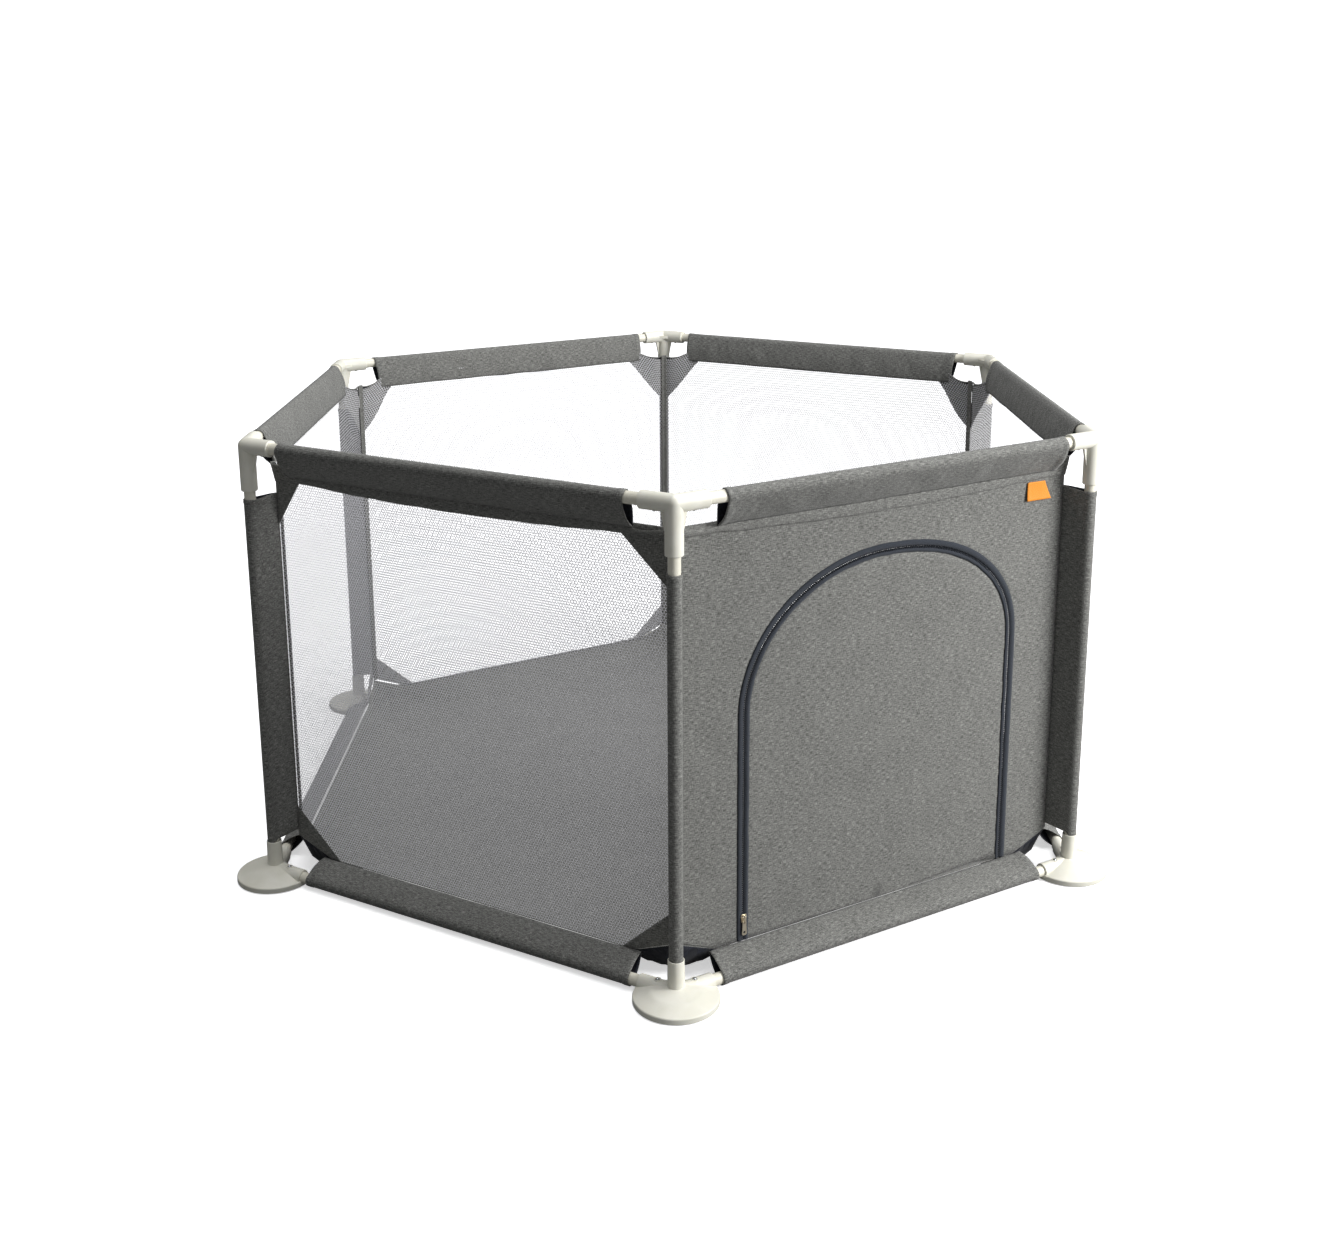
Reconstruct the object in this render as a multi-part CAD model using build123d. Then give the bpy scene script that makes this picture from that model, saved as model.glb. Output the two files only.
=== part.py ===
from build123d import *
import math
import os

# Hexagonal knock-down playpen: painted steel tubes in plastic corners and disc feet, with a
# fabric enclosure hung inside the frame. Millimetres, +Z up. The origin is on the ground below
# the middle of the hexagon, and the front corner points along -Y.

# Frame
SIDE = 670.0  # pole axis to pole axis, which is also the hexagon's corner radius
TUBE_R = 8.0
TUBE_BORE_R = 7.0
TOP_RAIL_Z = 646.0
LOW_RAIL_Z = 12.0
TUBE_FIT = 0.05  # radial clearance of a tube in its socket
RAIL_END = 14.0  # from the pole axis to a rail's end inside its socket

# Top corner
SOCKET_R = 11.5
TOP_REACH = 45.0
DROP_END_Z = 583.0
POLE_TOP_Z = 628.0
RIM = 1.3

# Foot
DISC_R = 55.5
PAD_R = 50.0
PAD_T = 1.2
FOOT_SOCKET_R = 10.8
FOOT_REACH = 53.0
POST_TOP_Z = 58.0
POST_TOP_R = 10.6
POST_FOOT_R = 11.3
DOME_MIDDLE_Z = 17.0
DOME_TOP_Z = 23.0
POLE_BOTTOM_Z = 24.0
POST_MOUTH_R = 9.4
POST_MOUTH_Z = 50.0

# Snap buttons: a ball on a leaf spring inside each rail end
BUTTON_AT = 27.0  # from the pole axis, along the rail
BUTTON_R = 2.6
BUTTON_TIP = 12.8  # from the rail axis
BUTTON_FLANGE_R = 3.4
BUTTON_FLANGE = (4.3, 4.9)
TUBE_HOLE_R = 2.95
SOCKET_HOLE_R = 3.3
BOSS_R = 4.8
BOSS_RISE = 0.4
LEAF_T = 0.5
LEAF_W = 5.0

# Fabric enclosure
INSET = 33.0  # from the rails' plane in to the wall's plane
CLOTH = 0.8
MESH_T = 1.0
WALL_T = 1.2
WALL_TOP_Z = 606.0
WALL_FOOT_Z = 33.0
WALL_GAP = 0.5  # left at each upright corner, where the walls are sewn together
CUT_RUN = 61.0  # the lower corners of the walls and the floor's corners are cut off
CUT_RISE = 25.0
PATCH_T = 0.5
TOP_PATCH = 88.0
LOW_PATCH_RUN = 78.0
LOW_PATCH_RISE = 71.0
SLEEVE_HALF = 275.0
TOP_SEAM_Z = 601.0
SKIRT_HALF = 271.0
POLE_SLEEVE_TOP_Z = 567.0
POLE_SLEEVE_FOOT_Z = 53.0
WEB_FOOT_Z = 60.0
FLOOR_Z = 5.0
FLOOR_SLOPE = 120.0  # width of the sloping border between the seam and the flat floor

# Zip door in the front right wall; u runs towards the front right corner
DOOR_MIDDLE = 7.0
DOOR_HALF = 221.0
DOOR_TOP_Z = 530.0
LEFT_SPRING_Z = 345.0
RIGHT_SPRING_Z = 370.0
LEFT_SQUARENESS = 2.0
RIGHT_SQUARENESS = 2.25
FOLD_Z = 80.0
FOLD_GAP = 0.3
TAPE_EDGE = 10.0
TAPE_T = 0.5
TAPE_INNER = 2.6
FABRIC_EDGE = 4.0
COIL = (0.8, 3.0)
COIL_N = (-0.4, 1.6)
SLIDER_Z = (59.0, 71.0)
SLIDER_HALF = 4.5
PULL_PIVOT_N = 4.1
PULL_PIVOT_Z = 68.0
PULL_LENGTH = 26.0
TAB_Z = (563.0, 589.0)
TAB_TOP_U = (248.0, 278.0)
TAB_FOOT_U = (246.0, 289.0)

CORNERS = {
    "front": -90.0,
    "front_right": -30.0,
    "back_right": 30.0,
    "back": 90.0,
    "back_left": 150.0,
    "front_left": 210.0,
}
# A side is named by the direction that its middle faces; the door is in the first.
DOOR_SIDE = "right_front"
SIDES = {
    "right_front": -60.0,
    "right": 0.0,
    "right_back": 60.0,
    "left_back": 120.0,
    "left": 180.0,
    "left_front": 240.0,
}
RAIL_HEADINGS = (120.0, 240.0)  # from a corner whose outward direction is 0
APOTHEM = SIDE * math.cos(math.radians(30))
WALL_APOTHEM = APOTHEM - INSET
WALL_CORNER_R = WALL_APOTHEM / math.cos(math.radians(30))
WALL_HALF = WALL_APOTHEM * math.tan(math.radians(30)) - WALL_GAP
LOW = (Align.CENTER, Align.CENTER, Align.MIN)


def at_corner(angle, shape):
    """Places a shape made round a pole on the Z axis, with +X pointing outwards."""
    return Rot(0, 0, angle) * Pos(SIDE, 0, 0) * shape


def on_side(angle, shape):
    """Places a shape made on a side: X outwards from the wall's plane, Y along it, Z up."""
    return Rot(0, 0, angle) * Pos(WALL_APOTHEM, 0, 0) * shape


def group(shapes):
    return Compound(children=list(shapes))


def rod(radius, start, end):
    """A round bar along X."""
    return Pos(start, 0, 0) * Rot(0, 90, 0) * Cylinder(radius, end - start, align=LOW)


def socket(radius, reach):
    """A round bar along X with its far rim rounded."""
    bar = rod(radius, 0, reach)
    return fillet(bar.edges().sort_by(Axis.X)[-1], RIM)


def outline(*corners):
    """A flat face through (x, y, rounding radius) corners."""
    face = make_face(Polyline(*[(x, y) for x, y, _ in corners], close=True))
    for x, y, radius in corners:
        if radius:
            corner = min(face.vertices(), key=lambda v: math.hypot(v.X - x, v.Y - y))
            face = fillet(corner, radius)
    return face


def upright(face, thickness, start=0.0):
    """Extrudes a face drawn in (Y, Z) along X, from start."""
    return Pos(start, 0, 0) * extrude(Plane.YZ * face, thickness, dir=(1, 0, 0))


def along_rail(face, half):
    """Extrudes a section drawn in (X, Z) both ways along Y."""
    return extrude(Plane.XZ * face, half, both=True)


def both_rails(shape, height):
    """Copies a shape made along X to both rails of a corner."""
    return [Pos(0, 0, height) * Rot(0, 0, heading) * shape for heading in RAIL_HEADINGS]


def top_corner():
    horizontal = both_rails(socket(SOCKET_R, TOP_REACH), TOP_RAIL_Z)
    drop = Pos(0, 0, TOP_RAIL_Z) * Rot(0, 90, 0) * socket(SOCKET_R, TOP_RAIL_Z - DROP_END_Z)
    body = Pos(0, 0, TOP_RAIL_Z) * Sphere(SOCKET_R)
    body = body + drop + horizontal[0] + horizontal[1]
    web = outline((0, 0, 0), (-18, 30, 0), (-18, -30, 0))
    body += Pos(0, 0, TOP_RAIL_Z - 2.5) * extrude(web, 5)
    fin = outline((4, -6, 0), (18, -9, 0), (12, -36, 0), (4, -36, 0))
    fin_plate = extrude(Plane.XZ * fin, 1.6, both=True)
    for plate in both_rails(fin_plate, TOP_RAIL_Z):
        body += plate
    body -= Pos(0, 0, DROP_END_Z - 1) * Cylinder(
        TUBE_R + TUBE_FIT, POLE_TOP_Z - DROP_END_Z + 1, align=LOW
    )
    for bore in both_rails(rod(TUBE_R + TUBE_FIT, RAIL_END, TOP_REACH + 1), TOP_RAIL_Z):
        body -= bore
    hole = Pos(BUTTON_AT, 0, -SOCKET_R - 1) * Cylinder(SOCKET_HOLE_R, SOCKET_R, align=LOW)
    for cut in both_rails(hole, TOP_RAIL_Z):
        body -= cut
    return body


def without_inner_sector(shape, margin):
    """Cuts away what lies between the two rails, on the playpen's inner side of their axes."""
    apex = (-margin / math.cos(math.radians(30)), 0)
    far = (apex[0] - 50, 50 * math.tan(math.radians(60)))
    wedge = make_face(Polyline(apex, far, (far[0], -far[1]), close=True))
    return shape - Pos(0, 0, -1) * extrude(wedge, 40)


def foot():
    dome = outline(
        (0, PAD_T, 0),
        (DISC_R, PAD_T, 0.6),
        (DISC_R, 8.8, 2.2),
        (34, DOME_MIDDLE_Z, 30),
        (8, DOME_TOP_Z, 0),
        (0, DOME_TOP_Z, 0),
    )
    post = outline(
        (0, PAD_T, 0),
        (POST_FOOT_R, PAD_T, 0),
        (POST_FOOT_R, DOME_TOP_Z, 0),
        (POST_TOP_R, POST_TOP_Z, 0.5),
        (0, POST_TOP_Z, 0),
    )
    body = without_inner_sector(revolve(Plane.XZ * dome, Axis.Z), 8)
    body += revolve(Plane.XZ * post, Axis.Z)
    for bar in both_rails(socket(FOOT_SOCKET_R, FOOT_REACH), LOW_RAIL_Z):
        body += bar
    boss = Pos(BUTTON_AT, 0, 0) * Cylinder(BOSS_R, FOOT_SOCKET_R + BOSS_RISE, align=LOW)
    for ring in both_rails(boss, LOW_RAIL_Z):
        body += ring
    body -= Pos(0, 0, POLE_BOTTOM_Z) * Cylinder(TUBE_R + TUBE_FIT, 100, align=LOW)
    body -= Pos(0, 0, POST_MOUTH_Z) * Cylinder(POST_MOUTH_R, 100, align=LOW)
    for bore in both_rails(rod(TUBE_R + TUBE_FIT, RAIL_END, DISC_R + 1), LOW_RAIL_Z):
        body -= bore
    hole = Pos(BUTTON_AT, 0, 0) * Cylinder(SOCKET_HOLE_R, 20, align=LOW)
    for cut in both_rails(hole, LOW_RAIL_Z):
        body -= cut
    return body


def rail(height, hole_side):
    """A rail along Y with a button hole near each end, above (1) or below (-1)."""
    half = SIDE / 2 - RAIL_END
    bar = Rot(90, 0, 0) * (Cylinder(TUBE_R, 2 * half) - Cylinder(TUBE_BORE_R, 2 * half))
    for end in (-1, 1):
        place = Pos(0, end * (SIDE / 2 - BUTTON_AT), hole_side * TUBE_R)
        bar -= place * Cylinder(TUBE_HOLE_R, 6)
    return Pos(INSET, 0, height) * bar


def pole():
    length = POLE_TOP_Z - POLE_BOTTOM_Z
    wall = Cylinder(TUBE_R, length, align=LOW) - Cylinder(TUBE_BORE_R, length, align=LOW)
    return Pos(0, 0, POLE_BOTTOM_Z) * wall


def button():
    """One ball-ended button that points up, over its place on a rail along X."""
    low, high = BUTTON_FLANGE
    ball_z = BUTTON_TIP - BUTTON_R
    body = Pos(0, 0, low) * Cylinder(BUTTON_R, ball_z - low, align=LOW)
    body += Pos(0, 0, ball_z) * Sphere(BUTTON_R)
    body += Pos(0, 0, low) * Cylinder(BUTTON_FLANGE_R, high - low, align=LOW)
    return Pos(BUTTON_AT, 0, 0) * body


def leaf_spring():
    """A V of strip steel in a rail's end, holding the button up from the far wall."""
    seat = BUTTON_FLANGE[0]
    floor = -6.4
    bend = 52.0
    start = 22.0
    section = outline(
        (start, seat, 0),
        (30, seat, 0),
        (bend, floor + 1, 0),
        (bend + 0.6, floor, 0),
        (start, floor, 0),
        (start, floor + LEAF_T, 0),
        (bend - 1.6, floor + LEAF_T, 0),
        (29.6, seat - LEAF_T, 0),
        (start, seat - LEAF_T, 0),
    )
    return extrude(Plane.XZ * section, LEAF_W / 2, both=True)


def teardrop(radius, middle, tip):
    """A circle and a tip joined by the two tangents, in (X, Z)."""
    away = math.atan2(tip[1] - middle[1], tip[0] - middle[0])
    spread = math.acos(radius / math.dist(middle, tip))
    sides = [
        (middle[0] + radius * math.cos(away + s), middle[1] + radius * math.sin(away + s))
        for s in (-spread, spread)
    ]
    wedge = make_face(Polyline(tip, sides[0], middle, sides[1], close=True))
    return wedge + Pos(*middle) * Circle(radius)


def loop_of_cloth(middle, tip):
    """The section of cloth looped round a tube at middle and sewn together at tip."""
    length = math.dist(middle, tip)
    inner_r = TUBE_R + 0.1
    back = (CLOTH * length / (inner_r + CLOTH) + 0.5) / length
    inner_tip = (tip[0] + (middle[0] - tip[0]) * back, tip[1] + (middle[1] - tip[1]) * back)
    return teardrop(inner_r + CLOTH, middle, tip) - teardrop(inner_r, middle, inner_tip)


def rail_sleeve(rail_z, seam_z, half):
    """Cloth looped over a rail and sewn to the wall along its edge."""
    tip = (MESH_T / 2 + PATCH_T + 0.2, seam_z)
    return along_rail(loop_of_cloth((INSET, rail_z), tip), half)


def pole_sleeve():
    """Cloth looped round a pole and sewn to the enclosure's corner, with a short tube at its foot."""
    inner_r = TUBE_R + 0.1
    tip = (WALL_CORNER_R + 1.0 - SIDE, 0)
    loop = extrude(loop_of_cloth((0, 0), tip), POLE_SLEEVE_TOP_Z - WEB_FOOT_Z)
    tube = Circle(inner_r + CLOTH) - Circle(inner_r)
    foot_tube = extrude(tube, WEB_FOOT_Z + 1 - POLE_SLEEVE_FOOT_Z)
    return Pos(0, 0, WEB_FOOT_Z) * loop + Pos(0, 0, POLE_SLEEVE_FOOT_Z) * foot_tube


def wall_outline():
    """A wall's outline in (u, z), with its lower corners cut off."""
    cut = WALL_HALF - CUT_RUN
    low = WALL_FOOT_Z
    return outline(
        (-cut, low, 0),
        (cut, low, 0),
        (WALL_HALF, low + CUT_RISE, 0),
        (WALL_HALF, WALL_TOP_Z, 0),
        (-WALL_HALF, WALL_TOP_Z, 0),
        (-WALL_HALF, low + CUT_RISE, 0),
    )


def corner_patches():
    """The four cloth patches on the outside of one mesh wall."""
    top = outline(
        (WALL_HALF, WALL_TOP_Z, 0),
        (WALL_HALF - TOP_PATCH, WALL_TOP_Z, 0),
        (WALL_HALF, WALL_TOP_Z - TOP_PATCH, 0),
    )
    low = outline(
        (WALL_HALF - LOW_PATCH_RUN, WALL_FOOT_Z, 0),
        (WALL_HALF - CUT_RUN, WALL_FOOT_Z, 0),
        (WALL_HALF, WALL_FOOT_Z + CUT_RISE, 0),
        (WALL_HALF, WALL_FOOT_Z + LOW_PATCH_RISE, 0),
    )
    plates = [upright(face, PATCH_T, MESH_T / 2) for face in (top, low)]
    return plates + [mirror(plate, Plane.XZ) for plate in plates]


def door_curve(offset):
    """Points of the arch, from the left leg's top to the right leg's, offset outwards."""
    quarters = (
        (-1, LEFT_SPRING_Z, LEFT_SQUARENESS),
        (1, RIGHT_SPRING_Z, RIGHT_SQUARENESS),
    )
    points = []
    steps = 14
    for hand, spring_z, squareness in quarters:
        quarter = []
        for i in range(steps + 1):
            turn = math.radians(90.0 * i / steps)
            across = math.cos(turn) ** (2 / squareness) if i < steps else 0.0
            up = math.sin(turn) ** (2 / squareness) if i else 0.0
            half = DOOR_HALF + offset
            rise = DOOR_TOP_Z - spring_z + offset
            quarter.append((DOOR_MIDDLE + hand * half * across, spring_z + rise * up))
        points += quarter if hand < 0 else quarter[-2::-1]
    return points


def door_face(offset, foot_z):
    """The arch's face down to foot_z, in (u, z)."""
    arch = door_curve(offset)
    curve = Spline(*arch, tangents=[(0, 1), (0, -1)])
    left, right = arch[0], arch[-1]
    legs = Polyline(right, (right[0], foot_z), (left[0], foot_z), left)
    return make_face([curve, *legs.edges()])


def door_ring(outer, inner, foot_z, top_z=None):
    """The band between two offsets of the arch, from foot_z up or between two heights."""
    ring = door_face(outer, foot_z) - door_face(inner, foot_z - 1)
    if top_z is not None:
        middle = (foot_z + top_z) / 2
        ring &= Pos(DOOR_MIDDLE, middle) * Rectangle(4 * DOOR_HALF, top_z - foot_z)
    return ring


def zip_half(hand, foot_z, top_z=None):
    """Tape and coil of one side of the zip: outside the door (1) or on it (-1)."""
    edges = sorted((hand * TAPE_EDGE, hand * TAPE_INNER))
    tape = upright(door_ring(edges[1], edges[0], foot_z, top_z), TAPE_T, WALL_T / 2)
    edges = sorted((hand * COIL[0], hand * COIL[1]))
    depth = COIL_N[1] - COIL_N[0]
    coil = upright(door_ring(edges[1], edges[0], foot_z, top_z), depth, COIL_N[0])
    return tape + coil


def zip_slider():
    """Two plates joined by a neck between the coils, and a bridge for the pull."""
    low, high = SLIDER_Z
    u = DOOR_MIDDLE - DOOR_HALF
    plate = outline(
        (-3.2, low, 1.0),
        (3.2, low, 1.0),
        (SLIDER_HALF, high - 4, 1.0),
        (SLIDER_HALF - 0.6, high, 1.0),
        (0.6 - SLIDER_HALF, high, 1.0),
        (-SLIDER_HALF, high - 4, 1.0),
    )
    front = upright(plate, 1.0, 1.9)
    back = upright(plate, 1.0, -2.0)
    neck = Pos(0.4, 0, high - 5) * Box(3.4, 0.8, 4, align=LOW)
    bridge = Pos(4.4, 0, low + 1.5) * Box(3.6, 2.2, 9.7, align=LOW)
    bridge -= Pos(4.0, 0, low + 2.6) * Box(2.4, 4, 7.5, align=LOW)
    return Pos(0, u, 0) * (front + back + neck + bridge)


def zip_pull():
    """A tapered tab with a hole at its end, hung by a round bar under the slider's bridge."""
    top = PULL_PIVOT_Z
    low = top - PULL_LENGTH
    tab = outline(
        (-2.6, top + 0.6, 0),
        (2.6, top + 0.6, 0),
        (2.9, top - 12, 0),
        (3.6, low + 4, 0),
        (3.6, low, 2.4),
        (-3.6, low, 2.4),
        (-3.6, low + 4, 0),
        (-2.9, top - 12, 0),
    )
    window_low = top - 9.6
    window_high = top + 1
    tab -= outline(
        (-1.6, window_low, 0), (1.6, window_low, 0), (1.6, window_high, 0), (-1.6, window_high, 0)
    )
    tab -= Pos(0, low + 4.2) * Circle(1.7)
    pull = upright(tab, 1.2, PULL_PIVOT_N - 0.6)
    pull += Pos(PULL_PIVOT_N, 0, top) * Rot(90, 0, 0) * Cylinder(0.8, 5.2)
    return Pos(0, DOOR_MIDDLE - DOOR_HALF, 0) * pull


def label_tab():
    low, top = TAB_Z
    face = outline(
        (TAB_TOP_U[0], top, 0),
        (TAB_TOP_U[1], top, 0),
        (TAB_FOOT_U[1], low, 0),
        (TAB_FOOT_U[0], low, 0),
    )
    return upright(face, 0.9, WALL_T / 2 + 0.1)


def floor_cloth():
    """A cloth dish: a sloping border from the walls' seam down to the flat middle."""

    def level(apothem, cut, height):
        sides = []
        half = apothem * math.tan(math.radians(30)) - cut
        for angle in SIDES.values():
            for u in (-half, half):
                sides.append(tuple(Vector(apothem, u).rotate(Axis.Z, angle))[:2])
        return Pos(0, 0, height) * make_face(Polyline(*sides, close=True))

    rim_z = WALL_FOOT_Z - CLOTH
    rim = level(WALL_APOTHEM, CUT_RUN, rim_z)
    flat = level(WALL_APOTHEM - FLOOR_SLOPE, CUT_RUN, FLOOR_Z)
    dish = loft([flat, rim], ruled=True)
    lifted_rim = level(WALL_APOTHEM, CUT_RUN, rim_z + CLOTH)
    lifted_flat = level(WALL_APOTHEM - FLOOR_SLOPE, CUT_RUN, FLOOR_Z + CLOTH)
    above = loft([lifted_flat, lifted_rim], ruled=True)
    rim_band = extrude(rim, CLOTH)
    return (dish + rim_band) - above


def make_parts():
    parts = {}
    for name, angle in CORNERS.items():
        parts[f"top_corner_{name}"] = at_corner(angle, top_corner())
        parts[f"foot_{name}"] = at_corner(angle, foot())
        parts[f"pole_{name}"] = at_corner(angle, pole())
        below = Rot(180, 0, 0) * button()
        parts[f"top_buttons_{name}"] = group(
            at_corner(angle, b) for b in both_rails(below, TOP_RAIL_Z)
        )
        parts[f"foot_buttons_{name}"] = group(
            at_corner(angle, b) for b in both_rails(button(), LOW_RAIL_Z)
        )
    for name, angle in SIDES.items():
        parts[f"top_rail_{name}"] = on_side(angle, rail(TOP_RAIL_Z, -1))
        parts[f"low_rail_{name}"] = on_side(angle, rail(LOW_RAIL_Z, 1))
        if name != DOOR_SIDE:
            wall = upright(wall_outline(), MESH_T, -MESH_T / 2)
            parts[f"mesh_wall_{name}"] = on_side(angle, wall)

    springs = []
    for angle in CORNERS.values():
        springs += [
            at_corner(angle, s) for s in both_rails(Rot(180, 0, 0) * leaf_spring(), TOP_RAIL_Z)
        ]
        springs += [at_corner(angle, s) for s in both_rails(leaf_spring(), LOW_RAIL_Z)]
    parts["button_springs"] = group(springs)
    pad = without_inner_sector(Cylinder(PAD_R, PAD_T, align=LOW), 4)
    parts["foot_pads"] = group(at_corner(angle, pad) for angle in CORNERS.values())
    parts["pole_sleeves"] = group(at_corner(angle, pole_sleeve()) for angle in CORNERS.values())
    top_sleeve = rail_sleeve(TOP_RAIL_Z, TOP_SEAM_Z, SLEEVE_HALF)
    skirt = rail_sleeve(LOW_RAIL_Z, WALL_FOOT_Z, SKIRT_HALF)
    parts["rail_sleeves"] = group(
        on_side(angle, sleeve) for angle in SIDES.values() for sleeve in (top_sleeve, skirt)
    )
    parts["corner_patches"] = group(
        on_side(angle, patch)
        for name, angle in SIDES.items()
        if name != DOOR_SIDE
        for patch in corner_patches()
    )
    parts["floor_cloth"] = floor_cloth()

    door_angle = SIDES[DOOR_SIDE]
    fixed_top = FOLD_Z - FOLD_GAP
    doorway = door_face(FABRIC_EDGE, FOLD_Z - FOLD_GAP)
    low_slots = door_ring(FABRIC_EDGE, -FABRIC_EDGE, WALL_FOOT_Z - 1, FOLD_Z)
    wall = upright(wall_outline() - doorway - low_slots, WALL_T, -WALL_T / 2)
    parts["door_wall"] = on_side(door_angle, wall)
    flap = upright(door_face(-FABRIC_EDGE, FOLD_Z + FOLD_GAP), WALL_T, -WALL_T / 2)
    parts["door_flap"] = on_side(door_angle, flap)
    upper = zip_half(1, WALL_FOOT_Z)
    lower = zip_half(-1, WALL_FOOT_Z, fixed_top)
    parts["zip_wall_side"] = group(
        on_side(door_angle, strip) for half in (upper, lower) for strip in half.solids()
    )
    door_zip = zip_half(-1, FOLD_Z + FOLD_GAP)
    parts["zip_door_side"] = on_side(door_angle, door_zip)
    parts["zip_slider"] = on_side(door_angle, zip_slider())
    parts["zip_pull"] = on_side(door_angle, zip_pull())
    parts["label_tab"] = on_side(door_angle, label_tab())
    return parts


os.makedirs("parts", exist_ok=True)
for node, shape in make_parts().items():
    export_step(shape, f"parts/{node}.step")
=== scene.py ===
import math

import bmesh
import bpy
from mathutils import Matrix, Vector, noise


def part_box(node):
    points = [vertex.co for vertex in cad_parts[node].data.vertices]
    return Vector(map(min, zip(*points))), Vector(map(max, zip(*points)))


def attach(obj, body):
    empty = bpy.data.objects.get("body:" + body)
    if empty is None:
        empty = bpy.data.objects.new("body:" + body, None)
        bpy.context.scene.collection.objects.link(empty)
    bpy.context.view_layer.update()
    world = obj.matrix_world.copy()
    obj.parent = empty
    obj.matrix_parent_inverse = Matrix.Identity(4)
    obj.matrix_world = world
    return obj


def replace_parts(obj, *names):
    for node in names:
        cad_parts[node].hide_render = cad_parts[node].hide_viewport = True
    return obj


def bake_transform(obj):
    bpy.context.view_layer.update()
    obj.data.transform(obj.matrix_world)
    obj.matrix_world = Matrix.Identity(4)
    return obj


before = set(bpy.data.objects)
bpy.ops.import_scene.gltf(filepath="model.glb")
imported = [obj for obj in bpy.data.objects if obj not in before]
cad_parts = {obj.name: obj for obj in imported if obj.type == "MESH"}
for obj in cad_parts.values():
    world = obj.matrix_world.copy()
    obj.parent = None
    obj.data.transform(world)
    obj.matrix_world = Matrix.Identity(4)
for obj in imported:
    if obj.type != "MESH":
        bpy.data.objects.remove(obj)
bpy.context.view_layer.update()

MM = 0.001


def middle(node):
    low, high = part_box(node)
    return (low + high) / 2


# ---- Places and sizes from the frame -------------------------------------------------------------
POLE_AT = -middle("pole_front").y  # the poles' axes stand on this radius
TUBE_R = (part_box("pole_front")[1].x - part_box("pole_front")[0].x) / 2
RAIL_N = middle("top_rail_right").x  # the rails' plane, out from the playpen's middle
TOP_RAIL_Z = middle("top_rail_right").z
LOW_RAIL_Z = middle("low_rail_right").z
WALL_N = middle("mesh_wall_right").x  # the walls' plane
WALL_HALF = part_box("mesh_wall_right")[1].y
WALL_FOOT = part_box("mesh_wall_right")[0].z
WALL_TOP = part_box("mesh_wall_right")[1].z
CORNER_R = WALL_N / math.cos(math.radians(30))  # the enclosure's upright corners
FLOOR_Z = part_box("floor_cloth")[0].z

CORNERS = {
    "front": -90,
    "front_right": -30,
    "back_right": 30,
    "back": 90,
    "back_left": 150,
    "front_left": 210,
}
DOOR_SIDE = "right_front"
SIDES = {
    "right_front": -60,
    "right": 0,
    "right_back": 60,
    "left_back": 120,
    "left": 180,
    "left_front": 240,
}

# ---- Cloth sizes, in metres ------------------------------------------------------------------------
CLOTH_T = 0.8 * MM
FAR_PULL = 18 * MM  # the other walls' tops are pulled outwards to under their rails
FAR_LIFT = 18 * MM  # and up, so that their hems are hidden inside the sleeves
FAR_DEPTH = 110 * MM  # the pull dies out this far below the walls' tops
FAR_SEAM_OUT = 12 * MM  # and those sleeves' seams stand further out and higher
FAR_SEAM_UP = 3 * MM
SLEEVE_HEM = 8 * MM
STITCH_IN = 9 * MM  # stitches run this far in from a sleeve's end
WELT_WIDTH = 24 * MM
TAB_WIDTH = 34 * MM
TAB_MIDDLE = 265.5 * MM  # along its side
CELL = 6 * MM
CUT_RUN = 61 * MM  # the lower corners of the walls are cut off
CUT_RISE = 25 * MM
TOP_PATCH = 88 * MM
LOW_PATCH_RUN = 78 * MM
LOW_PATCH_RISE = 71 * MM
TOP_SEAM = 601 * MM
WELT_FOOT = 584.5 * MM
# How far a sleeve reaches each way along its side: on its rail, then at its seam
SLEEVE_REACH = {
    "right_front": (-266.5 * MM, 279 * MM, -256 * MM, 297 * MM),
    "left_front": (-274 * MM, 271 * MM, -288 * MM, 261 * MM),
}
EVEN_REACH = (-275 * MM, 275 * MM, -271 * MM, 271 * MM)
SKIRT_REACH = (-270 * MM, 270 * MM, -267 * MM, 267 * MM)
POLE_SLEEVE_TOP = {
    "front": 560.5 * MM,
    "front_right": 573 * MM,
    "back_right": 568 * MM,
    "back": 567 * MM,
    "back_left": 568 * MM,
    "front_left": 571 * MM,
}
# How far a wall's top corner stands above its hem
CORNER_RISE = {"front": 0.0, "front_right": 15 * MM, "front_left": 15 * MM}
OTHER_RISE = 8 * MM
POLE_SLEEVE_FOOT = 53.5 * MM
FLOOR_SLOPE = 120 * MM
CORNER_SLOPE = 24 * MM

# ---- Zip door, in its wall's own u (towards the front right corner) and z ------------------------------
DOOR_MIDDLE = 7 * MM
DOOR_HALF = 221 * MM
DOOR_TOP = 530 * MM
LEFT_SPRING = 345 * MM
RIGHT_SPRING = 370 * MM
LEFT_SQUARENESS = 2.0
RIGHT_SQUARENESS = 2.25
TOOTH_PITCH = 1.5 * MM
FABRIC_EDGE = 4 * MM


# ---- Materials -------------------------------------------------------------------------------------
def colour(hex_value, alpha=1.0):
    """An sRGB hex colour as the linear RGBA that the shaders take."""
    parts = [int(hex_value[i : i + 2], 16) / 255 for i in (1, 3, 5)]
    linear = [c / 12.92 if c <= 0.04045 else ((c + 0.055) / 1.055) ** 2.4 for c in parts]
    return (*linear, alpha)


def add(tree, kind, inputs=None, **settings):
    """Adds a node: settings are its attributes, inputs are values or the sockets that feed it."""
    node = tree.nodes.new(kind)
    for name, value in settings.items():
        setattr(node, name, value)
    for name, value in (inputs or {}).items():
        socket = node.inputs[name]
        if isinstance(value, bpy.types.NodeSocket):
            tree.links.new(value, socket)
        else:
            socket.default_value = value
    return node


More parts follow.
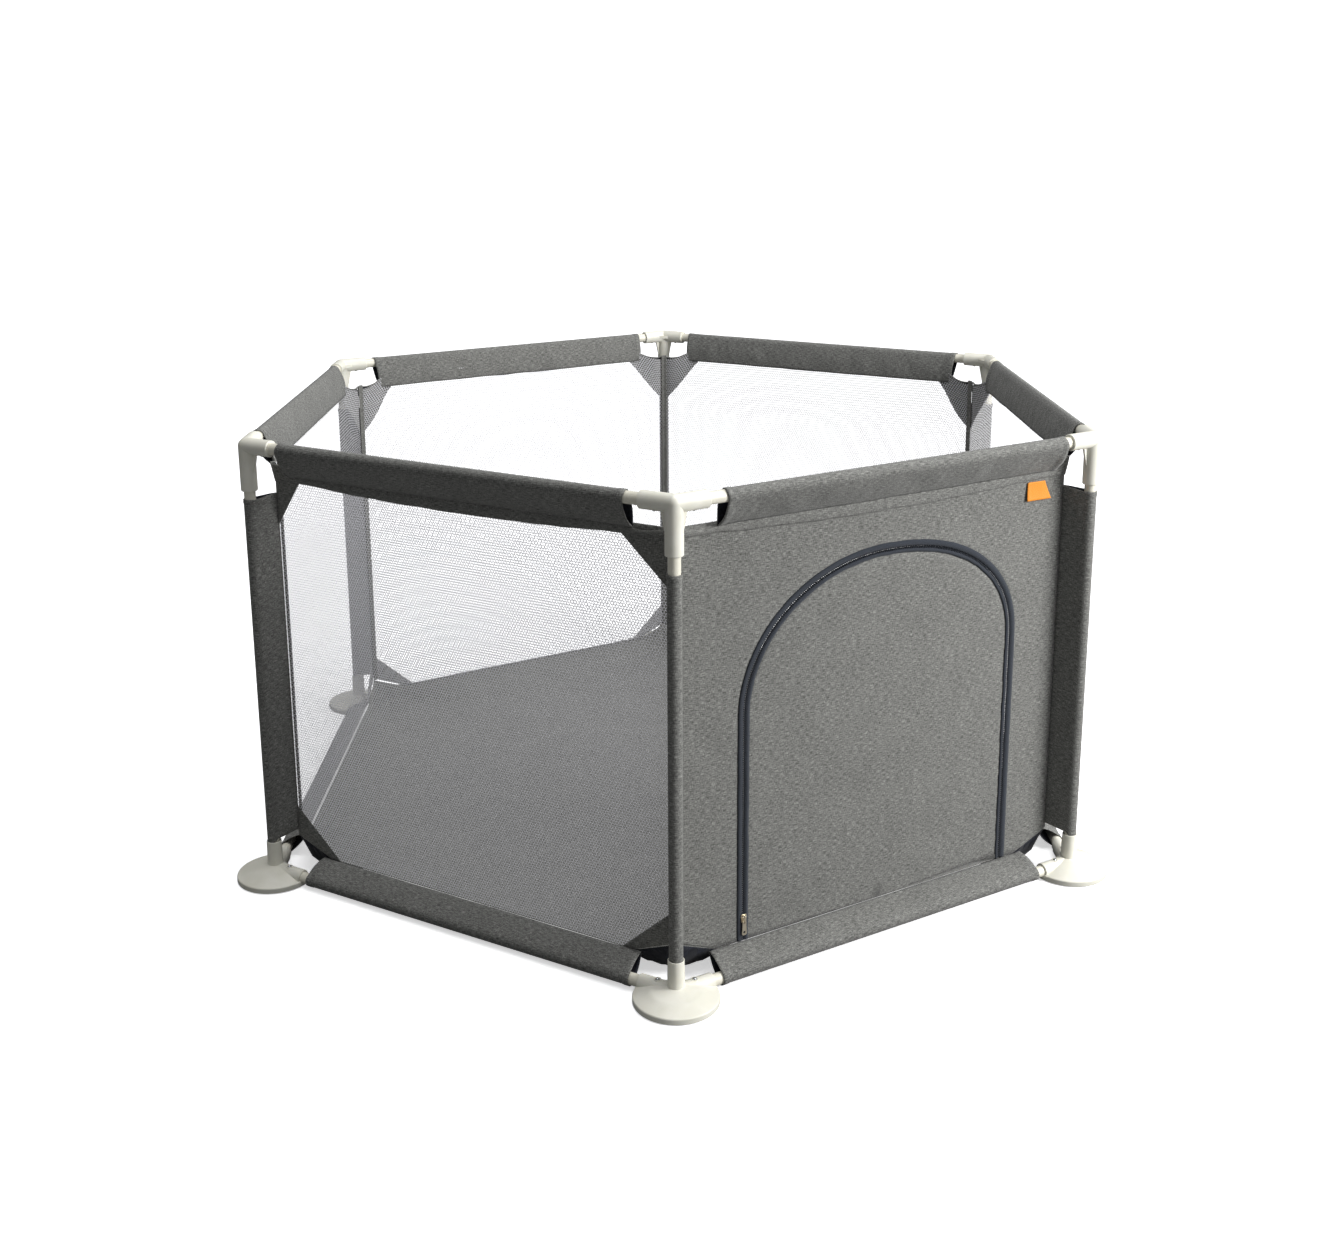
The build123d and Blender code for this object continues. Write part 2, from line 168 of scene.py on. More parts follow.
def new_material(name, **shader):
    """A material with one Principled shader; its plain values are set on the shader itself."""
    material = bpy.data.materials.new(name)
    material.use_nodes = True
    tree = material.node_tree
    tree.nodes.clear()
    principled = add(tree, "ShaderNodeBsdfPrincipled", {k.replace("_", " "): v for k, v in shader.items()})
    output = add(tree, "ShaderNodeOutputMaterial")
    tree.links.new(principled.outputs[0], output.inputs["Surface"])
    return material, tree, principled


def ramp(tree, factor, *stops):
    """A colour ramp through (position, hex colour) stops."""
    node = add(tree, "ShaderNodeValToRGB", {"Fac": factor})
    elements = node.color_ramp.elements
    while len(elements) < len(stops):
        elements.new(0.5)
    for element, (position, hex_value) in zip(elements, stops):
        element.position = position
        element.color = colour(hex_value)
    return node.outputs["Color"]


def millimetres(tree, source):
    """A coordinate output scaled from metres to millimetres."""
    return add(
        tree, "ShaderNodeVectorMath", {0: source, 1: (1000, 1000, 1000)}, operation="MULTIPLY"
    ).outputs[0]


def scaled(tree, vector, scale):
    return add(tree, "ShaderNodeVectorMath", {0: vector, 1: scale}, operation="MULTIPLY").outputs[0]


def ivory_abs():
    """Injection-moulded ABS: warm white, satin, with the faint orange peel of a mould."""
    material, tree, shader = new_material(
        "ivory_moulded_abs", Roughness=0.42, Specular_IOR_Level=0.45, Subsurface_Weight=0.06
    )
    shader.inputs["Subsurface Radius"].default_value = (0.004, 0.003, 0.002)
    shader.inputs["IOR"].default_value = 1.53
    place = millimetres(tree, add(tree, "ShaderNodeTexCoord").outputs["Object"])
    cloudy = add(tree, "ShaderNodeTexNoise", {"Vector": place, "Scale": 0.035, "Detail": 3.0})
    tint = ramp(tree, cloudy.outputs["Fac"], (0.35, "#DEDCCF"), (0.65, "#E6E4D9"))
    tree.links.new(tint, shader.inputs["Base Color"])
    peel = add(tree, "ShaderNodeTexNoise", {"Vector": place, "Scale": 0.9, "Detail": 2.0})
    bump = add(
        tree,
        "ShaderNodeBump",
        {"Height": peel.outputs["Fac"], "Strength": 0.05, "Distance": 0.0003},
    )
    tree.links.new(bump.outputs[0], shader.inputs["Normal"])
    rough = add(
        tree,
        "ShaderNodeMapRange",
        {"Value": peel.outputs["Fac"], "To Min": 0.36, "To Max": 0.5},
    )
    tree.links.new(rough.outputs[0], shader.inputs["Roughness"])
    return material


def powder_coat():
    """Ivory powder coat on steel tube: a little glossier and yellower than the plastic."""
    material, tree, shader = new_material("ivory_powder_coat", Roughness=0.33)
    place = millimetres(tree, add(tree, "ShaderNodeTexCoord").outputs["Object"])
    speck = add(tree, "ShaderNodeTexNoise", {"Vector": place, "Scale": 0.6, "Detail": 4.0})
    tint = ramp(tree, speck.outputs["Fac"], (0.3, "#DEDACA"), (0.7, "#E5E2D4"))
    tree.links.new(tint, shader.inputs["Base Color"])
    bump = add(
        tree,
        "ShaderNodeBump",
        {"Height": speck.outputs["Fac"], "Strength": 0.06, "Distance": 0.0003},
    )
    tree.links.new(bump.outputs[0], shader.inputs["Normal"])
    return material


def woven(tree, shader, cut, stops, thread, fleck, grain=1.0):
    """Plain weave of mixed yarns on a cloth's own cut, in millimetres.

    The light and dark flecks are single yarns that surface for a few millimetres along the weft;
    they are drawn about twice their real size so that they show.
    """
    length, height = fleck
    along = scaled(tree, cut, (1 / length, 1 / height, 1))
    yarns = add(tree, "ShaderNodeTexNoise", {"Vector": along, "Scale": 1.0, "Detail": 2.0})
    upright = scaled(tree, cut, (1 / (height * 1.1), 1 / (length * 0.55), 1))
    warp = add(tree, "ShaderNodeTexNoise", {"Vector": upright, "Scale": 1.0, "Detail": 1.0})
    weft = add(
        tree,
        "ShaderNodeMath",
        {0: yarns.outputs["Fac"], 1: 1.25, 2: -0.125},
        operation="MULTIPLY_ADD",
    )
    mixed = add(
        tree,
        "ShaderNodeMath",
        {0: warp.outputs["Fac"], 1: 0.75, 2: weft.outputs[0]},
        operation="MULTIPLY_ADD",
    )
    broad = add(tree, "ShaderNodeTexNoise", {"Vector": cut, "Scale": 0.02, "Detail": 2.0})
    shade = add(
        tree,
        "ShaderNodeMath",
        {0: broad.outputs["Fac"], 1: 0.12, 2: mixed.outputs[0]},
        operation="MULTIPLY_ADD",
    )
    centred = add(
        tree,
        "ShaderNodeMapRange",
        {"Value": shade.outputs[0], "From Min": 0.66, "From Max": 1.26},
    )
    tree.links.new(ramp(tree, centred.outputs[0], *stops), shader.inputs["Base Color"])
    threads = scaled(tree, cut, (math.pi / thread, math.pi / thread, 0))
    split = add(tree, "ShaderNodeSeparateXYZ", {0: threads})
    across = add(tree, "ShaderNodeMath", {0: split.outputs[0]}, operation="SINE")
    down = add(tree, "ShaderNodeMath", {0: split.outputs[1]}, operation="SINE")
    weave = add(tree, "ShaderNodeMath", {0: across.outputs[0], 1: down.outputs[0]}, operation="MULTIPLY")
    height_sum = add(
        tree,
        "ShaderNodeMath",
        {0: weave.outputs[0], 1: 0.25, 2: mixed.outputs[0]},
        operation="MULTIPLY_ADD",
    )
    bump = add(
        tree,
        "ShaderNodeBump",
        {"Height": height_sum.outputs[0], "Strength": 0.22 * grain, "Distance": 0.0006},
    )
    tree.links.new(bump.outputs[0], shader.inputs["Normal"])


def cloth_material(name, stops, fleck=(8.0, 0.9), thread=0.8, sheen=0.12, roughness=0.88, grain=1.0):
    material, tree, shader = new_material(
        name, Roughness=roughness, Sheen_Weight=sheen, Sheen_Roughness=0.5, Specular_IOR_Level=0.2
    )
    cut = millimetres(tree, add(tree, "ShaderNodeUVMap", uv_map="cut").outputs[0])
    woven(tree, shader, cut, stops, thread, fleck, grain)
    return material


HEATHER_STOPS = ((0.0, "#4C4C49"), (0.4, "#6A6A67"), (0.6, "#787875"), (1.0, "#989893"))
NAVY_STOPS = ((0.0, "#15161C"), (0.5, "#1E2028"), (1.0, "#2C2F3A"))
THREAD_STOPS = ((0.0, "#3A3B3D"), (0.5, "#4A4B4D"), (1.0, "#5C5D5F"))
TAPE_STOPS = ((0.0, "#202329"), (0.5, "#33373E"), (1.0, "#444951"))
ORANGE_STOPS = ((0.0, "#C87414"), (0.5, "#DE8A26"), (1.0, "#EA9D40"))

MESH_PITCH = 4.2  # millimetres; drawn coarser than the real 2.5 or so, which is too fine to show
MESH_HOLE = 0.41  # a hole's radius as a share of the pitch


def knitted_mesh():
    """White warp-knit polyester mesh: round holes in staggered rows between soft, matt threads."""
    material, tree, shader = new_material(
        "white_warp_knit_mesh", Roughness=0.8, Sheen_Weight=0.1, Specular_IOR_Level=0.2
    )
    shader.inputs["Base Color"].default_value = colour("#FBFAFF")
    cut = millimetres(tree, add(tree, "ShaderNodeUVMap", uv_map="cut").outputs[0])
    grid = scaled(tree, cut, (1 / MESH_PITCH, 1 / MESH_PITCH, 0))
    row = math.sqrt(3) / 2
    reaches = []
    for shift in ((0, 0, 0), (0.5, row, 0)):
        moved = add(tree, "ShaderNodeVectorMath", {0: grid, 1: shift}, operation="ADD")
        cell = add(
            tree,
            "ShaderNodeVectorMath",
            {0: moved.outputs[0], 1: (0.5, row, 1), 2: (-0.5, -row, -1)},
            operation="WRAP",
        )
        reaches.append(add(tree, "ShaderNodeVectorMath", {0: cell.outputs[0]}, operation="LENGTH"))
    nearest = add(
        tree,
        "ShaderNodeMath",
        {0: reaches[0].outputs["Value"], 1: reaches[1].outputs["Value"]},
        operation="MINIMUM",
    )
    thread = add(
        tree,
        "ShaderNodeMapRange",
        {"Value": nearest.outputs[0], "From Min": MESH_HOLE - 0.03, "From Max": MESH_HOLE + 0.03},
    )
    glow = add(tree, "ShaderNodeBsdfTranslucent", {"Color": colour("#FBFAFF")})
    body = add(tree, "ShaderNodeMixShader", {0: 0.5, 1: shader.outputs[0], 2: glow.outputs[0]})
    gap = add(tree, "ShaderNodeBsdfTransparent")
    knit = add(tree, "ShaderNodeMixShader", {0: thread.outputs[0], 1: gap.outputs[0], 2: body.outputs[0]})
    output = next(node for node in tree.nodes if node.type == "OUTPUT_MATERIAL")
    tree.links.new(knit.outputs[0], output.inputs["Surface"])
    bump = add(
        tree,
        "ShaderNodeBump",
        {"Height": nearest.outputs[0], "Strength": 0.4, "Distance": 0.0005},
    )
    tree.links.new(bump.outputs[0], shader.inputs["Normal"])
    return material


def metal(name, hex_value, roughness, scratch):
    """Plated metal: fine random brushing in its roughness."""
    material, tree, shader = new_material(name, Metallic=1.0, Roughness=roughness)
    shader.inputs["Base Color"].default_value = colour(hex_value)
    place = millimetres(tree, add(tree, "ShaderNodeTexCoord").outputs["Object"])
    marks = add(tree, "ShaderNodeTexNoise", {"Vector": place, "Scale": scratch, "Detail": 4.0})
    rough = add(
        tree,
        "ShaderNodeMapRange",
        {"Value": marks.outputs["Fac"], "To Min": roughness - 0.08, "To Max": roughness + 0.1},
    )
    tree.links.new(rough.outputs[0], shader.inputs["Roughness"])
    return material


def matt_rubber():
    """Moulded rubber: near-matt, with a fine even grain."""
    material, tree, shader = new_material("grey_moulded_rubber", Roughness=0.85)
    place = millimetres(tree, add(tree, "ShaderNodeTexCoord").outputs["Object"])
    grit = add(tree, "ShaderNodeTexNoise", {"Vector": place, "Scale": 1.5, "Detail": 2.0})
    tint = ramp(tree, grit.outputs["Fac"], (0.3, "#4A4A49"), (0.7, "#5A5A58"))
    tree.links.new(tint, shader.inputs["Base Color"])
    return material


def coil_nylon():
    """Monofilament nylon coil: dark, smooth and slightly glossy."""
    material, tree, shader = new_material("nylon_coil", Roughness=0.62, Specular_IOR_Level=0.3)
    place = millimetres(tree, add(tree, "ShaderNodeTexCoord").outputs["Object"])
    tone = add(tree, "ShaderNodeTexNoise", {"Vector": place, "Scale": 0.3})
    tint = ramp(tree, tone.outputs["Fac"], (0.3, "#171A20"), (0.7, "#242932"))
    tree.links.new(tint, shader.inputs["Base Color"])
    return material


HEATHER = cloth_material("heather_plain_weave", HEATHER_STOPS)
NAVY = cloth_material("navy_coated_lining", NAVY_STOPS, roughness=0.6, grain=0.4)
TAPE = cloth_material("woven_zip_tape", TAPE_STOPS, fleck=(1.4, 0.5), thread=0.5, grain=0.6)
ORANGE = cloth_material("orange_satin_tape", ORANGE_STOPS, fleck=(1.2, 0.4), thread=0.4, roughness=0.5)
MESH = knitted_mesh()
IVORY = ivory_abs()
POWDER = powder_coat()
NICKEL = metal("nickel_plated_zinc", "#EADFC9", 0.38, 1.2)
BRIGHT = metal("bright_zinc_steel", "#C9CBCC", 0.2, 2.0)
STRIP = metal("tempered_strip_steel", "#8B9096", 0.35, 2.0)
RUBBER = matt_rubber()
COIL = coil_nylon()
THREAD = cloth_material("grey_sewing_thread", THREAD_STOPS, fleck=(0.5, 0.2), thread=0.3)


# ---- Making and placing pieces ---------------------------------------------------------------------
def piece(bm, name, materials, body="root", thickness=0.0, turn=0.0):
    """Turns a bmesh, made round the Z axis, to its side or corner and makes it an object."""
    spin = Matrix.Rotation(math.radians(turn), 3, "Z")
    bmesh.ops.rotate(bm, cent=(0, 0, 0), matrix=spin, verts=bm.verts)
    mesh = bpy.data.meshes.new(name)
    bm.to_mesh(mesh)
    bm.free()
    obj = bpy.data.objects.new(name, mesh)
    bpy.context.scene.collection.objects.link(obj)
    for material in materials:
        mesh.materials.append(material)
    mesh.shade_smooth()
    if thickness:
        shell = obj.modifiers.new("cloth thickness", "SOLIDIFY")
        shell.thickness = thickness
        shell.offset = 0
        shell.material_offset = len(materials) - 1
    if body:
        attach(obj, body)
    return obj


def cut_cloth(width, length, cell=CELL):
    """Flat cloth, X across and Y along. It has no UV yet: mark_cut later keeps each point's place in the
    cut as its UV.
    """
    bm = bmesh.new()
    bmesh.ops.create_grid(
        bm,
        x_segments=max(2, round(width / cell)),
        y_segments=max(2, round(length / cell)),
        size=0.5,
        calc_uvs=False,
    )
    bmesh.ops.scale(bm, vec=(width, length, 1), verts=bm.verts)
    return bm


def mark_cut(bm, offset=0.0, weft_along=False):
    """Keeps the flat cloth's place as its UV, before it is shaped. The weft runs in the first UV."""
    layer = bm.loops.layers.uv.new("cut")
    for face in bm.faces:
        for loop in face.loops:
            x, y = loop.vert.co.x, loop.vert.co.y
            loop[layer].uv = (y + offset + 2, x + 2) if weft_along else (x + offset + 2, y + 2)


def shaped(bm, shape):
    """Moves each point of flat cloth to where shape(across, along) puts it."""
    for vert in bm.verts:
        vert.co = shape(vert.co.x, vert.co.y)


def ripple(along, across=0.0, seed=0.0):
    """Smooth noise from -1 to 1."""
    return noise.noise(Vector((along, across, seed * 1.37 + 0.31)))


def ease(value):
    value = min(1.0, max(0.0, value))
    return value * value * (3 - 2 * value)


class Teardrop:
    """Cloth looped round a tube and sewn together along a seam, as a path in a plane."""

    def __init__(self, radius, tube, seam, hand):
        self.radius = radius
        self.tube = Vector(tube)
        self.seam = Vector(seam)
        reach = self.seam - self.tube
        self.run = math.sqrt(reach.length_squared - radius * radius)
        spread = math.acos(radius / reach.length)
        self.start = math.atan2(reach.y, reach.x) + hand * spread
        self.hand = hand
        self.arc = radius * (2 * math.pi - 2 * spread)
        self.length = 2 * self.run + self.arc

    def at(self, across):
        """The point and outward direction at a distance across, with 0 on the tube's far side."""
        along = across + self.length / 2
        swept = min(max((along - self.run) / self.radius, 0), self.arc / self.radius)
        angle = self.start + self.hand * swept
        outward = Vector((math.cos(angle), math.sin(angle)))
        if along < self.run:
            touch = self.tube + outward * self.radius
            return self.seam.lerp(touch, along / self.run), outward
        if along > self.run + self.arc:
            touch = self.tube + outward * self.radius
            return touch.lerp(self.seam, (along - self.run - self.arc) / self.run), outward
        return self.tube + outward * self.radius, outward

    def slack(self, across):
        """How free the cloth is there: 0 on the tube and at the seam, 1 between them."""
        along = self.length / 2 - abs(across)
        if along > self.run:
            return 0.0
        return math.sin(math.pi * along / self.run)


# ---- Frame: CAD pieces keep their shape and get their finish ---------------------------------------
def finish_frame():
    finishes = {
        "top_corner": IVORY,
        "foot_pads": RUBBER,
        "foot_buttons": BRIGHT,
        "top_buttons": BRIGHT,
        "foot": IVORY,
        "pole_sleeves": None,
        "pole": POWDER,
        "top_rail": POWDER,
        "low_rail": POWDER,
        "button_springs": STRIP,
        "zip_slider": NICKEL,
        "zip_pull": NICKEL,
    }
    for name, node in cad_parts.items():
        start = next((key for key in finishes if name.startswith(key)), None)
        if start and finishes[start]:
            node.data.materials.clear()
            node.data.materials.append(finishes[start])


# ---- Stitching -------------------------------------------------------------------------------------
def stitches(rows, name, turn, length=3.2 * MM, gap=1.6 * MM, radius=0.35 * MM, body="root"):
    """Raised stitches along rows of (point, outward direction) pairs, as one piece of thread."""
    bm = bmesh.new()
    for row in rows:
        carry = 0.0
        for (start, out), (end, _) in zip(row, row[1:]):
            run = (end - start).length
            if run < 1e-6:
                continue
            way = (end - start) / run
            while carry + length + gap <= run:
                carry += length + gap
                side = way.cross(out).normalized()
                turned = Matrix((way, side, way.cross(side))).transposed().to_4x4()
                size = Matrix.Diagonal((length / 2, radius, radius, 1))
                spot = Matrix.Translation(start + way * carry)
                bmesh.ops.create_icosphere(bm, subdivisions=1, radius=1, matrix=spot @ turned @ size)
            carry -= run
    return piece(bm, name, [THREAD], body=body, turn=turn)


# ---- Sleeves ---------------------------------------------------------------------------------------
def rail_sleeve(side, rail_z, seam_z, reach, top):
    """Cloth over a rail: heather outside and navy lining inside."""
    level = "top" if top else "low"
    seed = SIDES[side] + (0 if top else 500)
    seam_n = WALL_N + 2.6 * MM
    if top and side not in SLEEVE_REACH:
        seam_n += FAR_SEAM_OUT
        seam_z += FAR_SEAM_UP
    path = Teardrop(TUBE_R + 0.9 * MM, (RAIL_N, rail_z), (seam_n, seam_z), 1 if top else -1)
    rail_start, rail_end, seam_start, seam_end = reach
    length = rail_end - rail_start
    bm = cut_cloth(path.length, length, 4 * MM)
    mark_cut(bm, seed * 0.01, weft_along=True)

    def shape(across, along):
        share = abs(across) / (path.length / 2)
        start = rail_start + (seam_start - rail_start) * share
        end = rail_end + (seam_end - rail_end) * share
        at = start + (end - start) * (along / length + 0.5)
        to_end = length / 2 - abs(along)
        point, outward = path.at(across)
        slack = path.slack(across)
        pucker = ripple(at / (9 * MM), across / (70 * MM), seed)
        fold = ripple(at / (40 * MM) + across / (80 * MM), across / (50 * MM), seed + 7)
        lift = slack * ((1.8 if top else 1.0) + 0.7 * pucker + 1.9 * fold) * MM
        hem = 0.6 * MM * (1 - ease((to_end - SLEEVE_HEM) / (1.6 * MM)))
        loose = (1 - ease(to_end / (34 * MM))) * slack * 1.6 * MM
        crease = ripple(at / (5.5 * MM) + across / (60 * MM), across / (90 * MM), seed + 21)
        lift += slack * (0.25 + (1 - ease(to_end / (60 * MM)))) * 0.8 * crease * MM
        point = point + outward * (lift + hem + loose)
        sway = ripple(at / (70 * MM), 0, seed + 3) * 0.8 * MM * share
        return (point.x, at, point.y + sway)

    shaped(bm, shape)
    if top:
        bmesh.ops.reverse_faces(bm, faces=bm.faces)
    obj = piece(
        bm, f"{level}_sleeve_{side}", [HEATHER, NAVY], thickness=CLOTH_T, turn=SIDES[side]
    )
    rows = []
    half = path.length / 2
    for end in (-1, 1):
        row = []
        for i in range(41):
            across = (i / 20 - 1) * half * 0.97
            at = Vector(shape(across, end * (length / 2 - STITCH_IN)))
            _, outward = path.at(across)
            out = Vector((outward.x, 0, outward.y))
            row.append((at + out * 0.55 * MM, out))
        rows.append(row)
    stitches(rows, f"{level}_sleeve_stitches_{side}", SIDES[side])
    return obj


def pole_sleeve(corner):
    """Cloth round a pole, run in flat to the enclosure's corner."""
    path = Teardrop(TUBE_R + 0.7 * MM, (POLE_AT, 0), (CORNER_R - 0.6 * MM, 0), 1)
    top_z = POLE_SLEEVE_TOP[corner]
    height = top_z - POLE_SLEEVE_FOOT
    bm = cut_cloth(path.length, height, 4 * MM)
    seed = CORNERS[corner] + 900
    mark_cut(bm, seed * 0.01)

    def shape(across, along):
        point, outward = path.at(across)
        share = ease((abs(across) - path.arc / 2) / path.run)
        up = 0.5 + along / height
        foot = POLE_SLEEVE_FOOT + 9 * MM * ease((abs(across) - path.arc * 0.3) / (8 * MM)) + 4 * MM * share
        top = top_z + 4 * MM * share
        z = foot + (top - foot) * up
        slack = path.slack(across)
        lift = slack * (1.0 * ripple(z / (60 * MM), across / (22 * MM), seed)) * MM
        hem = 0.6 * MM * ease((along - height / 2 + 8 * MM) / (1.5 * MM))
        point = point + outward * (lift + hem)
        return (point.x, point.y, z)

    shaped(bm, shape)
    obj = piece(
        bm,
        f"pole_sleeve_{corner}",
        [HEATHER, NAVY],
        thickness=CLOTH_T,
        turn=CORNERS[corner],
    )
    return obj


# ---- Walls -----------------------------------------------------------------------------------------
def trim(bm, start, end):
    """Cuts flat cloth along a line, keeping the side on the left of start to end."""
    run = Vector(end) - Vector(start)
    bmesh.ops.bisect_plane(
        bm,
        geom=bm.verts[:] + bm.edges[:] + bm.faces[:],
        plane_co=(*start, 0),
        plane_no=(run.y, -run.x, 0),
        clear_outer=True,
    )


def cut_panel(corners, cell=CELL):
    """Flat cloth cut to a convex outline given anticlockwise, in metres."""
    xs = [x for x, _ in corners]
    ys = [y for _, y in corners]
    bm = cut_cloth(max(xs) - min(xs), max(ys) - min(ys), cell)
    centre = ((max(xs) + min(xs)) / 2, (max(ys) + min(ys)) / 2, 0)
    bmesh.ops.translate(bm, vec=centre, verts=bm.verts)
    for start, end in zip(corners, corners[1:] + corners[:1]):
        if start[0] != end[0] and start[1] != end[1]:
            trim(bm, start, end)
    return bm


def outline_area(corners):
    pairs = zip(corners, corners[1:] + corners[:1])
    return abs(sum(a[0] * b[1] - b[0] * a[1] for a, b in pairs)) / 2


WALL_OUTLINE = [
    (CUT_RUN - WALL_HALF, WALL_FOOT),
    (WALL_HALF - CUT_RUN, WALL_FOOT),
    (WALL_HALF, WALL_FOOT + CUT_RISE),
    (WALL_HALF, WALL_TOP),
    (-WALL_HALF, WALL_TOP),
    (-WALL_HALF, WALL_FOOT + CUT_RISE),
]


def wall_bow(u, z, seed):
    """How far stretched cloth stands off its plane: nothing at its edges, a little between."""
    share = min(1, max(0, (z - WALL_FOOT) / (WALL_TOP - WALL_FOOT)))
    edge = (1 - (u / WALL_HALF) ** 2) * math.sin(math.pi * share)
    return edge * (1.6 * ripple(u / (160 * MM), z / (210 * MM), seed)) * MM


def top_pull(side, u, z):
    """The share by which the rail's sleeve pulls a wall's top outwards and up there."""
    if side in SLEEVE_REACH:
        return 0.0
    return ease((z - WALL_TOP + FAR_DEPTH) / FAR_DEPTH) * ease((WALL_HALF - abs(u) - 8 * MM) / (56 * MM))


def pulled(side, n, u, z, wall_z=None):
    """Moves a point of a wall's cloth by the pull of its rail's sleeve."""
    share = top_pull(side, u, z if wall_z is None else wall_z)
    return (n + FAR_PULL * share, u, z + FAR_LIFT * share)


def mesh_wall(side):
    seed = SIDES[side]
    bm = cut_panel(WALL_OUTLINE, 10 * MM)
    mark_cut(bm, seed * 0.013)
    shaped(bm, lambda u, z: pulled(side, WALL_N + wall_bow(u, z, seed), u, z))
    obj = piece(bm, f"mesh_{side}", [MESH], turn=seed)
    outline_area(WALL_OUTLINE)
    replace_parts(obj, f"mesh_wall_{side}")
    return obj


def patch_outlines(side):
    """The corner patches' outlines in (u, z). One corner's patch is cut narrower than the rest."""
    for hand, name in ((1, "right"), (-1, "left")):
        narrow = side == "left_front" and hand < 0
        run, rise = (51 * MM, 77 * MM) if narrow else (TOP_PATCH, 83 * MM)
        top = [(WALL_HALF, WALL_TOP), (WALL_HALF - run, WALL_TOP), (WALL_HALF, WALL_TOP - rise)]
        low = [
            (WALL_HALF - LOW_PATCH_RUN, WALL_FOOT),
            (WALL_HALF - CUT_RUN, WALL_FOOT),
            (WALL_HALF, WALL_FOOT + CUT_RISE),
            (WALL_HALF, WALL_FOOT + LOW_PATCH_RISE),
        ]
        for level, corners in (("top", top), ("low", low)):
            yield f"{level}_{name}", corners if hand > 0 else [(-u, z) for u, z in reversed(corners)]


def corner_patches(side):
    seed = SIDES[side]
    for place, corners in patch_outlines(side):
        bm = cut_panel(corners, 4 * MM)
        mark_cut(bm, seed * 0.017)
        shaped(bm, lambda u, z: pulled(side, WALL_N + 1.0 * MM + wall_bow(u, z, seed), u, z))
        obj = piece(bm, f"patch_{side}_{place}", [HEATHER], thickness=0.7 * MM, turn=seed)
        xs = [x for x, _ in corners]
        ys = [y for _, y in corners]
        outline_area(corners)
        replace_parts(obj, "corner_patches")


def end_corners(side):
    """The corners at a side's start (-u) and end (+u)."""
    angle = SIDES[side]
    near = {round(a) % 360: name for name, a in CORNERS.items()}
    return near[round(angle - 30) % 360], near[round(angle + 30) % 360]


def top_welt(side):
    """The hem along a wall's top: turned over the edge and sewn down on the outer face."""
    seed = SIDES[side] + 40
    width = WELT_WIDTH
    inner = 3 * MM
    bm = cut_cloth(width, 2 * WALL_HALF + 2 * MM, 3 * MM)
    mark_cut(bm, seed * 0.011, weft_along=True)
    rises = [CORNER_RISE.get(corner, OTHER_RISE) for corner in end_corners(side)]

    def shape(across, along):
        down = across + width / 2
        to_corner = WALL_HALF - abs(along)
        rise = rises[along > 0] * (1 - ease(to_corner / (52 * MM)))
        dip = -5 * MM * math.exp(-(((to_corner - 42 * MM) / (20 * MM)) ** 2)) if not rises[along > 0] else 0
        wave = 0.8 * MM * ripple(along / (60 * MM), 0, seed)
        top = WALL_TOP - 3 * MM + rise + dip + wave
        foot = WELT_FOOT + 8 * MM * min(1.0, abs(along) / (260 * MM)) ** 2
        foot += 1.3 * MM * ripple(along / (38 * MM), 0, seed + 5)
        curl = 5 * MM * (1 - ease(to_corner / (36 * MM))) * (rises[along > 0] > 10 * MM)
        outer = width - inner
        if down < outer:
            share = down / outer
            swell = 1.2 * MM * math.sin(math.pi * share) + 0.5 * MM * ripple(along / (12 * MM), share, seed)
            z = foot + (top - foot) * share
            flat = 1 - 0.8 * top_pull(side, along, WALL_TOP)
            out = flat * (1.9 * MM + swell) + curl * share**2
            return pulled(side, WALL_N + out, along, z, WALL_TOP)
        turn = math.pi * (down - outer) / inner
        n = WALL_N + 0.6 * MM + 1.3 * MM * math.cos(turn) + curl
        z = top + 1.2 * MM * math.sin(turn) - (1 * MM if turn > 3 else 0)
        return pulled(side, n, along, z, WALL_TOP)

    shaped(bm, shape)
    bmesh.ops.reverse_faces(bm, faces=bm.faces)
    obj = piece(
        bm, f"top_welt_{side}", [HEATHER, NAVY], thickness=CLOTH_T, turn=SIDES[side]
    )
    return obj


def corner_binding(corner):
    """The narrow binding sewn over two walls' seam, inside the enclosure's corner."""
    width = 12 * MM
    low = WALL_FOOT + CUT_RISE - 2 * MM
    top = WALL_TOP + 2 * MM + CORNER_RISE.get(corner, OTHER_RISE) * 0.7
    bm = cut_cloth(width, top - low, 3 * MM)
    seed = CORNERS[corner] + 60
    mark_cut(bm, seed * 0.01)

    def shape(across, along):
        z = (low + top) / 2 + along
        puff = 0.5 * MM * math.cos(math.pi * across / width) + 0.3 * MM * ripple(z / (14 * MM), 0, seed)
        return (CORNER_R - 1.9 * MM - abs(across) * 0.5 - puff, across * 0.866, z)

    shaped(bm, shape)
    bmesh.ops.reverse_faces(bm, faces=bm.faces)
    obj = piece(
        bm, f"corner_binding_{corner}", [HEATHER], thickness=0.7 * MM, turn=CORNERS[corner]
    )
    return obj


